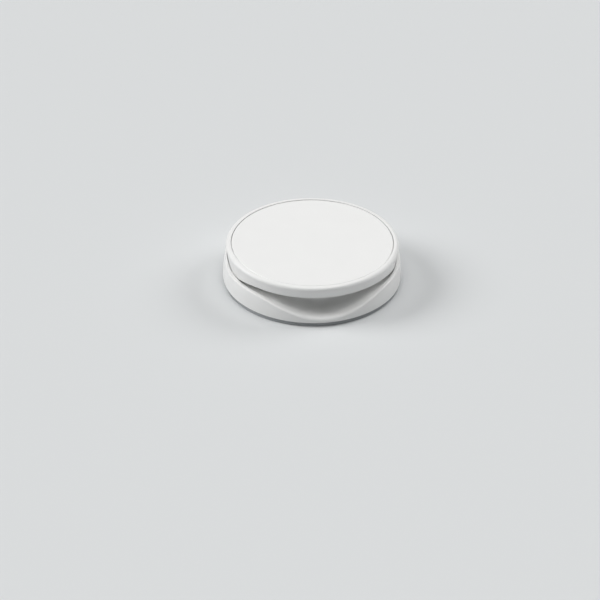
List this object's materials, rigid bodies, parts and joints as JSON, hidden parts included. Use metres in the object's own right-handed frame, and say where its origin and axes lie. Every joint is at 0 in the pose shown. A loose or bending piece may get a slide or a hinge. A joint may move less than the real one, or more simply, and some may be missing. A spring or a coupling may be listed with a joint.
{
  "type": "collapsible phone grip",
  "caption": "Round stick-on grip for the back of a phone: a cap with a finger arch that pulls out of a scooped base on a folding accordion.",
  "frame": {"origin": "centre of the adhesive pad's sticking face", "axes": "+Z away from the phone, along the pull; the finger scoop and the cap's arch face -Y"},
  "size_m": [0.0434, 0.0434, 0.0106],
  "materials": {
    "cap_plastic": "satin moulded, fine texture",
    "panel_plastic": "satin moulded, very fine texture",
    "base_plastic": "satin moulded, fine texture",
    "inner_plastic": "plain moulded",
    "bellows_rubber": "soft matt moulded elastomer",
    "pad_foam": "fine closed-cell foam"
  },
  "bodies": {
    "base": {"adhesive_pad": "pad_foam", "base_plate": "inner_plastic", "base_housing": "base_plastic", "bellows": "bellows_rubber"},
    "top": {"retainer": "inner_plastic", "cap": "cap_plastic", "top_panel": "panel_plastic"}
  },
  "joints": [
    {"name": "pop_out", "type": "slide", "parent": "base", "child": "top", "axis": [0, 0, 1], "range_m": [0, 0.014], "deforming": ["bellows"]}
  ]
}
